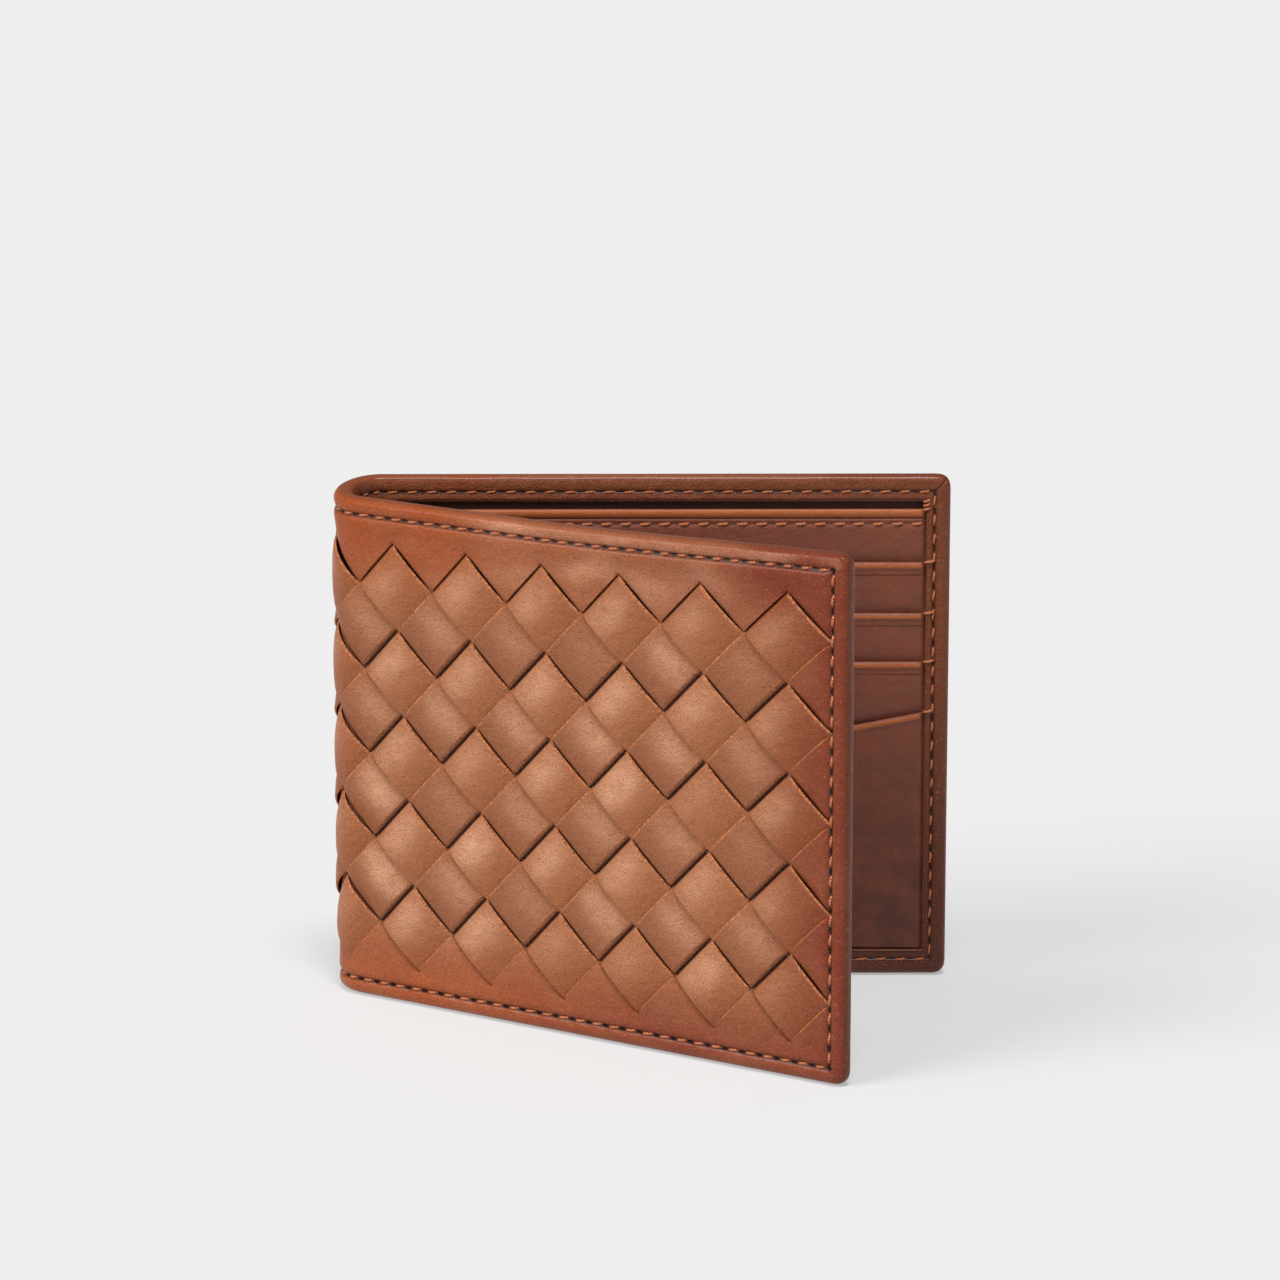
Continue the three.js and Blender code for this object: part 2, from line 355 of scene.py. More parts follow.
# The turned edge in section: inset from the edge, then n. It starts and ends under the seam.
EDGE_SECTION = (
    (3.0, -0.42), (2.72, -0.12), (2.25, 0.16), (1.6, 0.26), (0.9, 0.1), (0.34, -0.38), (0.04, -1.05),
    (0.0, -1.7), (0.06, -2.35), (0.4, -2.95), (1.0, -3.3), (1.8, -3.42), (2.5, -3.36), (2.85, -3.2),
    (3.0, -3.08), (3.15, -3.2), (3.5, -3.36), (3.9, -3.42), (4.2, -3.42), (4.45, -3.38))
EDGE_RETURN = ((4.7, -3.1), (3.6, -2.74), (2.0, -2.6), (1.1, -2.2), (1.0, -1.5), (2.0, -1.14), (3.0, -1.1))
SECTION_WIDTH = 4.7
SQUARENESS = 0.72


def turned_edge_section():
    front = smooth_curve(EDGE_SECTION, 3)
    section = front + list(EDGE_RETURN)
    raw = {len(front) - 1}
    return section, raw


def edge_place(side, value, inset):
    """The flat place of a section point: side names the run and value the place along it."""
    inner = max(inset - SEAM, 0) / (SECTION_WIDTH - SEAM)
    across = inset if inner == 0 else SEAM + inner * (BAND_SIDE - SEAM)
    if side == "side":
        low = SEAM + inner * (BAND_BOTTOM - SEAM)
        high = HEIGHT - SEAM - inner * (BAND_TOP - SEAM)
        return EDGE_W - across, clamp(value, low, high)
    band = BAND_TOP if side in ("top", "top_corner") else BAND_BOTTOM
    up = 1 if side in ("top", "top_corner") else -1
    seam = HEIGHT - SEAM if up > 0 else SEAM
    deep = up * inner * (band - SEAM)
    if side in ("top", "bottom"):
        w = min(value, SEAM_W - inner * (BAND_SIDE - SEAM))
        return w, seam + up * max(SEAM - inset, 0) - deep
    radius = max(SEAM - inset, 0)
    w = SEAM_W + radius * math.cos(value) ** SQUARENESS - inner * (BAND_SIDE - SEAM)
    return w, seam + up * radius * math.sin(value) ** SQUARENESS - deep


def edge_runs():
    quarter = math.pi / 2
    corner = [quarter * k / 16 for k in range(1, 16)]
    run = [("bottom", w) for w in spaced(0, SEAM_W, 0.9)]
    run += [("bottom_corner", angle) for angle in reversed(corner)]
    run += [("side", z) for z in spaced(SEAM, HEIGHT - SEAM, 0.9)]
    run += [("top_corner", angle) for angle in corner]
    run += [("top", w) for w in spaced(SEAM_W, 0, 0.9)]
    return run


def add_turned_edge(flat, half):
    section, raw = turned_edge_section()
    loops = []
    for side, value in edge_runs():
        loop = []
        for inset, n in section:
            w, z = edge_place(side, value, inset)
            run = z if side == "side" else w
            on_corner = side == "top_corner" and inset < SEAM
            mitre = 0.35 * bump(value - math.pi / 4, 0.09) if on_corner else 0
            pucker = 0.05 * math.cos(2 * math.pi * run / STITCH) * bump(inset - 2.6, 0.8)
            wander = 0.06 * noise.noise(Vector((w * 0.12, z * 0.12, inset)))
            relief = wander - pucker if n > -1.5 else wander + pucker + mitre
            loop.append((half * w, z, n + relief))
        loops.append(loop)
    flat.sweep(loops, raw)


# ---- woven strips ----

STRIP_THICKNESS = 0.42
# How far a strip runs on past its last crossing, in cells
STRIP_TUCK = 0.5
STRIP_TOP = 0.42
STRIP_DIP = -0.22
STRIP_UNDER = -0.66
STRIP_PLUNGE = 0.5
PLUNGE_WIDTHS = (0.03, 0.022)
FOLD_CREST = 0.4
FOLD_CREST_REACH = 15.0
CELL_STEPS = (0, 0.012, 0.028, 0.05, 0.08, 0.13, 0.2, 0.29, 0.39,
              0.5, 0.61, 0.71, 0.8, 0.87, 0.92, 0.95, 0.972, 0.988)
# Across a strip in shares of its lane: its top's points, and where its cut sides reach underneath
FIRST_WAY_SIDES = (0.012, 0.02, 0.05, 0.14, 0.3, 0.5, 0.7, 0.86, 0.93, 0.955, 0.968)
FIRST_WAY_FOOT = (1.0, 0.0)
OTHER_WAY_SIDES = (0.056, 0.064, 0.1, 0.2, 0.33, 0.5, 0.7, 0.86, 0.94, 0.956, 0.966)
OTHER_WAY_FOOT = (0.996, 0.036)


def strip_height(run, first, first_way):
    """Height of a strip's top: crests over every second cell, and plunges sharply at one end of it."""
    cell = math.floor(run + 1e-9)
    along = run - cell
    swing = abs(2 * along - 1)
    over = (cell - first) % 2 == 0
    if over:
        height = STRIP_DIP + (STRIP_TOP - STRIP_DIP) * (1 - swing ** 2.8)
    else:
        height = STRIP_DIP + (STRIP_UNDER - STRIP_DIP) * (1 - swing ** 2)
    end, width = (1, PLUNGE_WIDTHS[0]) if first_way else (0, PLUNGE_WIDTHS[1])
    to_plunge = (run - first - end + 1) % 2 - 1
    return height - STRIP_PLUNGE * bump(to_plunge, width)


def add_strip(flat, index, crossings, first_way):
    """One strip: index is its place, crossings the (first, last) cells that it lies over.

    A first-way strip runs along q at p = index; the other kind runs along p at q = index. Its sides are
    cut at a slant, so that their raw edges show: more on the upper side, where the other strips plunge.
    """
    first, last = crossings
    runs = [cell + step for cell in range(first - 1, last + 2) for step in CELL_STEPS]
    runs = [run for run in runs if first - STRIP_TUCK <= run <= last + 1 + STRIP_TUCK]
    sides = FIRST_WAY_SIDES if first_way else OTHER_WAY_SIDES
    foot = FIRST_WAY_FOOT if first_way else OTHER_WAY_FOOT
    loops = []
    for run in runs:
        height = strip_height(run, first, first_way)
        middle = (index + 0.5, run) if first_way else (run, index + 0.5)
        if height > 0:
            height *= 1 + FOLD_CREST / STRIP_TOP * bump(lattice(*middle)[0], FOLD_CREST_REACH)
        fray = 0.012 * noise.noise(Vector((run * 9.0, index * 3.0, 5.0 + first_way)))
        loop = []
        for side in sides:
            outermost = side in (sides[0], sides[-1])
            crown = -0.1 * (2 * side - 1) ** 2 - 0.1 * outermost
            lane = index + side + (fray if outermost else 0)
            p, q = (lane, run) if first_way else (run, lane)
            loop.append((*lattice(p, q), height + crown))
        for side in foot:
            p, q = (index + side, run) if first_way else (run, index + side)
            loop.append((*lattice(p, q), height - STRIP_THICKNESS))
        loops.append(loop)
    count = len(sides)
    flat.sweep(loops, raw={count - 1, count + 1})


def crossings_of(index, first_way):
    """The first and last cells that a strip lies over, or None."""
    sums = (-1, 2 * CELL_ROWS - 3) if first_way else (0, 2 * CELL_ROWS - 4)
    cells = []
    for total in range(sums[0], sums[1] + 1, 2):
        other = total - index
        spread = (index - other) if first_way else (other - index)
        if -2 * CELLS_ALONG < spread < 0:
            cells.append(other)
    return (min(cells), max(cells)) if cells else None


def unlean(w, z):
    """The lattice place that leans over to w."""
    place = w
    for _ in range(6):
        place += w - lean(place, z)
    return place


def cell_painted_highlight(first_way):
    """A painted highlight towards the upper end of every cell that a strip shows, its strength random per
    cell.
    """
    def highlight_tone(w, z, n):
        up = (z - WEAVE_LOW) / CELL_H
        along = (unlean(w, z) - SEAM_W) / CELL_W
        p, q = up + along, up - along
        run, lane = (q % 1, p % 1) if first_way else (p % 1, q % 1)
        cell = noise.noise(Vector((math.floor(p) * 3.7 + 0.3, math.floor(q) * 5.3 + 0.7, 1.0 + first_way)))
        # Painted highlight towards the cell's upper end, fainter towards the strip's sides.
        highlight_shape = bump(run - 0.7, 0.3) * (1 - 0.6 * abs(2 * lane - 1) ** 2)
        return clamp(0.12 + (0.5 + 0.5 * cell) * highlight_shape)
    return highlight_tone


# ---- stitches ----

THREAD_RADIUS = 0.27
INNER_THREAD_RADIUS = 0.21
# Stands in for a row's height where the seam runs up the side
SIDE_LINE = 50


def add_stitch(flat, start, end, level, sink, radius=THREAD_RADIUS):
    """One stitch from start to end, (w, z) each, arched at level and sunk at both ends."""
    direction = Vector((end[0] - start[0], end[1] - start[1]))
    side = Vector((-direction.y, direction.x)).normalized()
    loops = []
    for k in range(9):
        t = k / 8
        arch = math.sin(math.pi * t) ** 0.5 if 0 < k < 8 else 0.0
        n = level - sink * (1 - arch)
        wide = radius * (0.7 + 0.3 * arch)
        centre = Vector(start) + direction * t
        loop = []
        for a in range(8):
            angle = math.pi * a / 4
            point = centre + side * wide * math.cos(angle)
            loop.append((point.x, point.y, n + wide * math.sin(angle)))
        loops.append(loop)
    flat.sweep(loops)


def seam_run(start, end, pitch=STITCH):
    """Start and end of each stitch along a straight run of seam."""
    count = round(abs(end - start) / pitch)
    step = (end - start) / count
    return [(start + step * (k + 0.2), start + step * (k + 0.82)) for k in range(count)]


def sewn_lean(slant, place, line, level):
    """How far a stitch's end stands off its seam, never twice the same."""
    return slant * (1 + 0.9 * noise.noise(Vector((place * 1.7, line, level))))


def add_edge_seam(flat, half, level, slant, sink, radius=THREAD_RADIUS):
    """Stitches along the bottom, the free edge and the top; slant leans each one a little."""
    for z in (SEAM, HEIGHT - SEAM):
        for w0, w1 in seam_run(0, SEAM_W):
            start = (half * w0, z - sewn_lean(slant, w0, z, level))
            end = (half * w1, z + sewn_lean(slant, w1, z, level))
            add_stitch(flat, start, end, level, sink, radius)
    for z0, z1 in seam_run(SEAM, HEIGHT - SEAM):
        start = (half * (SEAM_W - sewn_lean(slant, z0, SIDE_LINE, level)), z0)
        end = (half * (SEAM_W + sewn_lean(slant, z1, SIDE_LINE, level)), z1)
        add_stitch(flat, start, end, level, sink, radius)


# ---- the inside ----

PANEL_END = EDGE_W - 2.4
BAND_W = EDGE_W - BAND_SIDE


def divider_section():
    """Height and depth round the bill divider, whose top edge is rolled."""
    top = DIVIDER_TOP
    face = [(1.6, 2.45), (30.0, 2.45), (60.0, 2.45), (80.0, 2.45), (top - 3.7, 2.5), (top - 2.2, 2.62),
            (top - 1.85, 2.6), (top - 1.7, 2.8), (top - 1.35, 3.08), (top - 0.9, 3.2), (top - 0.45, 3.12),
            (top - 0.12, 2.86), (top, 2.5), (top - 0.12, 2.2), (top - 0.5, 2.02), (top - 1.1, 1.98)]
    return smooth_curve(face, 2) + [(80.0, 2.05), (60.0, 2.05), (30.0, 2.05), (1.6, 2.05)]


def pocket_section(top, next_top, layer):
    """Height and depth round one card pocket: a rolled top edge, a creased line, then its face.

    The face runs down and in behind the next pocket, or down under the bottom band.
    """
    hidden = 2.5 + 0.05 * layer
    if next_top is None:
        low = [(3.4, hidden), (4.7, hidden + 0.02), (5.3, 2.85), (6.3, 3.22), (9.0, 3.34)]
    else:
        low = [(3.4, hidden), (next_top - 4.0, hidden + 0.02), (next_top - 0.4, 2.66),
               (next_top + 0.6, 2.86), (next_top + 1.9, 3.16)]
    rolled = [(top - 2.95, 3.4), (top - 2.65, 3.37), (top - 2.5, 3.27), (top - 2.35, 3.37),
              (top - 1.9, 3.4), (top - 1.5, 3.42), (top - 1.15, 3.56), (top - 0.75, 3.66),
              (top - 0.35, 3.58), (top - 0.08, 3.36), (top, 3.1), (top - 0.12, 2.92), (top - 0.5, 2.84)]
    back = [(top - 2.9, 2.9)] + [(z, depth - 0.22) for z, depth in reversed(low)]
    return smooth_curve(low + rolled, 2) + back


def slip_section():
    """The slip panel hangs from the divider's seam behind the card pockets."""
    first = POCKET_TOPS[0]
    seam = DIVIDER_SEAM
    face = [(3.4, 2.47), (first - 4, 2.5), (first - 0.4, 2.62), (first + 0.6, 2.84), (first + 1.9, 3.1),
            (seam - 2.9, 3.1), (seam - 0.9, 3.1), (seam - 0.4, 3.0), (seam, 2.84), (seam + 0.4, 3.0),
            (seam + 0.7, 3.02), (seam + 0.94, 2.9), (seam + 1.0, 2.74)]
    back = [(seam + 0.1, 2.68), (seam - 2.9, 2.68), (first + 1.9, 2.62), (first - 0.4, 2.5), (3.4, 2.48)]
    return smooth_curve(face, 2) + back


def tuck_depth(depth, w, hidden):
    """A panel's depth where it runs in under the side band."""
    under = ease((w - (BAND_W - 1.0)) / 1.1)
    return depth + (min(hidden, depth) - depth) * under


def add_panel(flat, half, section_at, start, end, hidden):
    """Sweep a panel's section from its fold side to under the side band."""
    places = spaced(start, BAND_W - 1.2, 1.6) + spaced(BAND_W - 1.0, BAND_W + 0.4, 0.2) + [end]
    loops = []
    for w in places:
        loop = []
        for z, depth in section_at(w):
            wave = 0.05 * noise.noise(Vector((w * 0.08, z * 0.08, hidden * 7)))
            loop.append((half * w, z, -tuck_depth(depth + wave, w, hidden)))
        loops.append(loop)
    flat.sweep(loops)


def slant_top(w):
    return SLANT_TOP - SLANT_SLOPE * (BAND_W - w)


# ---- materials ----

def srgb(red, green, blue):
    def linear(value):
        value /= 255
        return value / 12.92 if value <= 0.04045 else ((value + 0.055) / 1.055) ** 2.4
    return (linear(red), linear(green), linear(blue), 1.0)


class Shader:
    """A node material built from short calls."""

    def __init__(self, name):
        self.material = bpy.data.materials.new(name)
        self.material.use_nodes = True
        self.tree = self.material.node_tree
        self.bsdf = self.tree.nodes["Principled BSDF"]

    def node(self, kind, **settings):
        made = self.tree.nodes.new(kind)
        for key, value in settings.items():
            setattr(made, key, value)
        return made

    def put(self, socket, value):
        if isinstance(value, bpy.types.NodeSocket):
            self.tree.links.new(value, socket)
        else:
            socket.default_value = value

    def math(self, operation, a, b=0.0, clamped=False):
        made = self.node("ShaderNodeMath", operation=operation, use_clamp=clamped)
        self.put(made.inputs[0], a)
        self.put(made.inputs[1], b)
        return made.outputs[0]

    def flat(self):
        return self.node("ShaderNodeAttribute", attribute_name="flat").outputs["Vector"]

    def tone(self):
        return self.node("ShaderNodeAttribute", attribute_name="tone").outputs["Fac"]

    def split(self, vector):
        made = self.node("ShaderNodeSeparateXYZ")
        self.put(made.inputs[0], vector)
        return made.outputs

    def noise(self, vector, scale, detail=3.0, roughness=0.55):
        made = self.node("ShaderNodeTexNoise")
        self.put(made.inputs["Vector"], vector)
        made.inputs["Scale"].default_value = scale
        made.inputs["Detail"].default_value = detail
        made.inputs["Roughness"].default_value = roughness
        return made.outputs["Fac"]

    def cells(self, vector, scale):
        made = self.node("ShaderNodeTexVoronoi", feature="DISTANCE_TO_EDGE")
        self.put(made.inputs["Vector"], vector)
        made.inputs["Scale"].default_value = scale
        return made.outputs["Distance"]

    def ramp(self, value, low, high, out_low=0.0, out_high=1.0):
        made = self.node("ShaderNodeMapRange", interpolation_type="SMOOTHSTEP")
        self.put(made.inputs[0], value)
        for k, number in enumerate((low, high, out_low, out_high)):
            made.inputs[k + 1].default_value = number
        return made.outputs[0]

    def mix(self, factor, a, b):
        made = self.node("ShaderNodeMix", data_type="RGBA")
        self.put(made.inputs[0], factor)
        self.put(made.inputs[6], a)
        self.put(made.inputs[7], b)
        return made.outputs[2]

    def relief(self, layers):
        """Bumps one over another, each (height, strength, distance in metres)."""
        normal = None
        for height, strength, distance in layers:
            made = self.node("ShaderNodeBump")
            made.inputs["Strength"].default_value = strength
            made.inputs["Distance"].default_value = distance
            self.put(made.inputs["Height"], height)
            if normal is not None:
                self.put(made.inputs["Normal"], normal)
            normal = made.outputs[0]
        self.put(self.bsdf.inputs["Normal"], normal)


def leather_grain(shader, flat, strength):
    pores = shader.ramp(shader.cells(flat, 1.7), 0.0, 0.2)
    fine = shader.noise(flat, 2.6, 4.0, 0.7)
    soft = shader.noise(flat, 0.4, 3.0)
    shader.relief([(soft, 0.6 * strength, 0.0009), (pores, 0.4 * strength, 0.0002),
                   (fine, 0.7 * strength, 0.0003)])


def hole_mask(shader, along, across, start, pitch):
    """Where painted shade stands in for the awl holes between the stitches of one straight seam."""
    turn = shader.math("DIVIDE", shader.math("SUBTRACT", along, start), pitch)
    part = shader.math("FRACT", turn)
    nearest = shader.math("FRACT", shader.math("ADD", part, 0.49))
    to_hole = shader.math("ABSOLUTE", shader.math("SUBTRACT", nearest, 0.5))
    length = shader.math("DIVIDE", to_hole, 0.175)
    width = shader.math("DIVIDE", across, 0.34)
    round_hole = shader.math("ADD", shader.math("POWER", length, 2.0), shader.math("POWER", width, 2.0))
    return shader.ramp(round_hole, 1.25, 0.6)


def seam_holes(shader, w, z):
    side = shader.math("ABSOLUTE", w)
    top_pitch = SEAM_W / round(SEAM_W / STITCH)
    side_pitch = (HEIGHT - 2 * SEAM) / round((HEIGHT - 2 * SEAM) / STITCH)
    total = None
    for along, across_from, line, start, pitch in (
            (side, z, SEAM, 0.0, top_pitch), (side, z, HEIGHT - SEAM, 0.0, top_pitch),
            (z, side, SEAM_W, SEAM, side_pitch)):
        across = shader.math("ABSOLUTE", shader.math("SUBTRACT", across_from, line))
        holes = hole_mask(shader, along, across, start, pitch)
        total = holes if total is None else shader.math("MAXIMUM", total, holes)
    return total


def outer_leather(name, light, mid, burnt, burnt_far, strips=True):
    shader = Shader(name)
    flat = shader.flat()
    w, z, n = shader.split(flat)
    side = shader.math("ABSOLUTE", w)
    middle = shader.math("MULTIPLY", shader.ramp(side, 22.0, 45.0), shader.ramp(side, 104.0, 80.0))
    top = shader.math("MULTIPLY", shader.ramp(z, 72.0, 90.0), shader.ramp(middle, 0.0, 1.0, 1.0, 0.45))
    bottom = shader.ramp(z, 17.0, 3.0, 0.0, 0.85)
    edge = shader.ramp(side, SEAM_W - 20, SEAM_W)
    fold = shader.ramp(side, 17.0, 4.0, 0.0, 0.45)
    burn = shader.math("MAXIMUM", shader.math("MAXIMUM", top, bottom), shader.math("MAXIMUM", edge, fold))
    cloud = shader.noise(flat, 0.07, 3.0)
    burn = shader.math("MULTIPLY", burn, shader.ramp(cloud, 0.2, 0.75, 0.75, 1.15), clamped=True)
    # On the border a high tone, from the painted sheen and crest highlight, holds the burnt colour back.
    burn = shader.math("MULTIPLY", burn, shader.ramp(shader.tone(), 0.3, 0.9, 1.0, 1.0 if strips else 0.25))
    # Lighter where tone is high: the painted highlight on the strips; painted sheen, crest highlight and
    # random tone on the border.
    body = shader.mix(shader.ramp(shader.tone(), 0.05, 0.95), mid, light)
    mottled = shader.mix(shader.ramp(shader.noise(flat, 0.3, 4.0), 0.35, 0.75, 0.0, 0.35), body, mid)
    far = shader.ramp(side, 25.0, 85.0)
    dark = shader.mix(far, burnt, burnt_far)
    colour = shader.mix(burn, mottled, dark)
    from_middle = shader.math("ABSOLUTE", shader.math("SUBTRACT", z, HEIGHT / 2))
    inset = shader.math("MINIMUM", shader.math("SUBTRACT", HEIGHT / 2 - SEAM, from_middle),
                        shader.math("SUBTRACT", SEAM_W, side))
    # Painted shade where the leather dips: in the slits where strips dive, and where the border runs under
    # the strips' ends.
    depth = shader.ramp(n, -0.36, -0.66)
    if not strips:
        depth = shader.ramp(n, -0.46, -0.74)
        depth = shader.math("MULTIPLY", depth, shader.ramp(inset, 0.9, 1.6))
        rim = shader.ramp(shader.math("ABSOLUTE", shader.math("SUBTRACT", n, -1.6)), 1.6, 0.6, 0.0, 0.5)
        colour = shader.mix(rim, colour, srgb(88, 42, 18))
        inner_band = shader.ramp(n, -2.6, -3.1, 0.0, 0.8)
        band = shader.mix(shader.ramp(z, 2.0, 70.0), srgb(72, 34, 20), srgb(118, 62, 32))
        colour = shader.mix(inner_band, colour, band)
    # Painted shade in the dips.
    colour = shader.mix(depth, colour, srgb(48, 21, 12))
    # Painted shade in the stitch groove along the seam line.
    groove = shader.ramp(shader.math("ABSOLUTE", inset), 0.75, 0.2, 0.0, 0.6)
    colour = shader.mix(groove, colour, srgb(74, 28, 14))
    speckle = shader.ramp(shader.noise(flat, 2.4, 6.0, 0.85), 0.46, 0.68, 0.0, 0.6)
    colour = shader.mix(speckle, colour, srgb(104, 48, 24))
    bloom = shader.ramp(shader.noise(flat, 1.8, 6.0, 0.85), 0.54, 0.74, 0.0, 0.45)
    colour = shader.mix(bloom, colour, srgb(224, 168, 128))
    # Painted shade stands in for the awl holes, fainter on the inside.
    holes = shader.math("MULTIPLY", seam_holes(shader, w, z), shader.ramp(n, -2.6, -2.0, 0.55, 1.0))
    colour = shader.mix(holes, colour, srgb(14, 6, 5))
    shader.put(shader.bsdf.inputs["Base Color"], colour)
    rough = shader.ramp(shader.noise(flat, 0.6, 3.0), 0.3, 0.7, 0.36, 0.5)
    shader.put(shader.bsdf.inputs["Roughness"], rough)
    shader.bsdf.inputs["Specular IOR Level"].default_value = 0.2
    shader.bsdf.inputs["Coat Weight"].default_value = 0.1 if strips else 0.2
    shader.bsdf.inputs["Coat Roughness"].default_value = 0.18
    leather_grain(shader, flat, 1.0)
    return shader.material


def inner_leather():
    shader = Shader("inner_leather")
    flat = shader.flat()
    w, z, n = shader.split(flat)
    base = shader.mix(shader.ramp(z, 6.0, 60.0), srgb(84, 42, 30), srgb(118, 64, 46))
    cloud = shader.ramp(shader.noise(flat, 0.16, 4.0), 0.35, 0.7, 0.0, 0.45)
    base = shader.mix(cloud, base, srgb(134, 68, 42))
    # Painted highlight on the crests of the card pockets' rolled edges and the divider's rolled top.
    crest_highlight = shader.ramp(n, -3.5, -3.62)
    rolled = shader.math("MULTIPLY", shader.ramp(z, 87.0, 87.3), shader.ramp(n, -2.4, -2.9))
    colour = shader.mix(shader.math("MAXIMUM", crest_highlight, rolled), base, srgb(164, 88, 44))
    shader.put(shader.bsdf.inputs["Base Color"], colour)
    rough = shader.ramp(shader.noise(flat, 0.8, 3.0), 0.3, 0.7, 0.36, 0.5)
    shader.put(shader.bsdf.inputs["Roughness"], rough)
    shader.bsdf.inputs["Specular IOR Level"].default_value = 0.3
    shader.bsdf.inputs["Coat Weight"].default_value = 0.12
    shader.bsdf.inputs["Coat Roughness"].default_value = 0.3
    leather_grain(shader, flat, 0.6)
    return shader.material


def raw_edge(name, light, dark):
    shader = Shader(name)
    flat = shader.flat()
    fibre = shader.noise(flat, 2.4, 5.0, 0.8)
    w, z, n = shader.split(flat)
    fibres = shader.mix(shader.ramp(fibre, 0.35, 0.65), dark, light)
    inside = shader.mix(shader.ramp(n, -2.2, -2.9, 0.0, 0.75), fibres, srgb(96, 48, 28))
    shader.put(shader.bsdf.inputs["Base Color"], inside)
    shader.bsdf.inputs["Roughness"].default_value = 0.75
    shader.relief([(fibre, 0.8, 0.0002)])
    return shader.material


def thread_material():
    shader = Shader("waxed_thread")
    flat = shader.flat()
    w, z, n = shader.split(flat)
    along = shader.math("ADD", shader.math("ADD", w, z), n)
    twist = shader.math("SINE", shader.math("MULTIPLY", along, 14.0))
    ply = shader.ramp(twist, -1.0, 1.0)
    colour = shader.mix(ply, srgb(142, 66, 34), srgb(226, 142, 94))
    shader.put(shader.bsdf.inputs["Base Color"], colour)
    shader.bsdf.inputs["Roughness"].default_value = 0.55
    shader.relief([(ply, 0.7, 0.0002), (shader.noise(flat, 16.0), 0.3, 0.00008)])
    return shader.material


def lining_material():
    shader = Shader("bill_lining")
    flat = shader.flat()
    w, z, n = shader.split(flat)
    warp = shader.math("SINE", shader.math("MULTIPLY", w, 14.0))
    weft = shader.math("SINE", shader.math("MULTIPLY", z, 14.0))
    cloth = shader.ramp(shader.math("MULTIPLY", warp, weft), -1.0, 1.0)
    shader.put(shader.bsdf.inputs["Base Color"], shader.mix(cloth, srgb(58, 30, 25), srgb(82, 46, 38)))
    shader.bsdf.inputs["Roughness"].default_value = 0.8
    shader.relief([(cloth, 0.4, 0.0001)])
    return shader.material


BORDER_LEATHER = outer_leather(
    "border_leather", srgb(206, 144, 110), srgb(164, 98, 60), srgb(158, 70, 16), srgb(124, 46, 14),
    strips=False)
BASE_STRIPS = outer_leather(
    "base_strip_leather", srgb(210, 152, 118), srgb(148, 88, 54), srgb(150, 74, 28), srgb(124, 54, 26))
WOVEN_STRIPS = outer_leather(
    "woven_strip_leather", srgb(218, 160, 124), srgb(160, 95, 56), srgb(156, 78, 28), srgb(130, 57, 25))
INNER_LEATHER = inner_leather()
RAW_EDGE = raw_edge("raw_edge", srgb(206, 124, 70), srgb(92, 42, 20))
DARK_EDGE = raw_edge("dark_edge", srgb(150, 84, 48), srgb(90, 44, 28))
THREAD = thread_material()
LINING = lining_material()


# ---- building each half ----

SIDES = {1: "front", -1: "back"}
LINING_LEVEL, LINING_THICKNESS = -1.5, 0.35


def bend_with_fold(piece, half):
    """Bake the piece's placement into its mesh, the same for either half."""
    if half > 0:
        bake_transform(piece)
    else:
        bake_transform(piece)


def build_outer(half):
    side = SIDES[half]
    border = Flat()
    add_border(border, half)
    piece = border.finish(f"{side}_leather_border", [BORDER_LEATHER, RAW_EDGE], border_tone_and_sheen)
    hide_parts(f"{side}_cover_leather", "spine_leather")
    bend_with_fold(piece, half)
    edge = Flat()
    add_turned_edge(edge, half)
    piece = edge.finish(f"{side}_turned_edge", [BORDER_LEATHER, RAW_EDGE], border_tone_and_sheen)
    bend_with_fold(piece, half)
    for first_way in (True, False):
        for index in range(-2 * CELLS_ALONG, 2 * CELLS_ALONG):
            build_strip(half, index, first_way)


def build_strip(half, index, first_way):
    crossings = crossings_of(index, first_way)
    if crossings is None:
        return
    strip = Flat()
    add_strip(strip, index, crossings, first_way)
    strip.lean_over()
    strip.cut(half * (SEAM_W + 0.9), -half)
    strip.cut(0, half)
    if not strip.bm.faces:
        strip.bm.free()
        return
    side = SIDES[half]
    kind = "woven_strip" if first_way else "base_strip"
    order = index + CELLS_ALONG
    material = WOVEN_STRIPS if first_way else BASE_STRIPS
    piece = strip.finish(f"{side}_{kind}_{order:02d}", [material, RAW_EDGE], cell_painted_highlight(first_way))
    bend_with_fold(piece, half)
    STRIPS[half].append((first_way, index, piece))


STRIPS = {1: [], -1: []}


def replace_strips(half):
    """The frame numbers its inserted strips from 1 on each cover; all of them are hidden here.

    The woven strips built above show in their place; the frame's strip at the very corner has no crossing
    of its own.
    """
    side = SIDES[half]
    for node in sorted(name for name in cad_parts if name.startswith(f"{side}_strip_")):
        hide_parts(node)


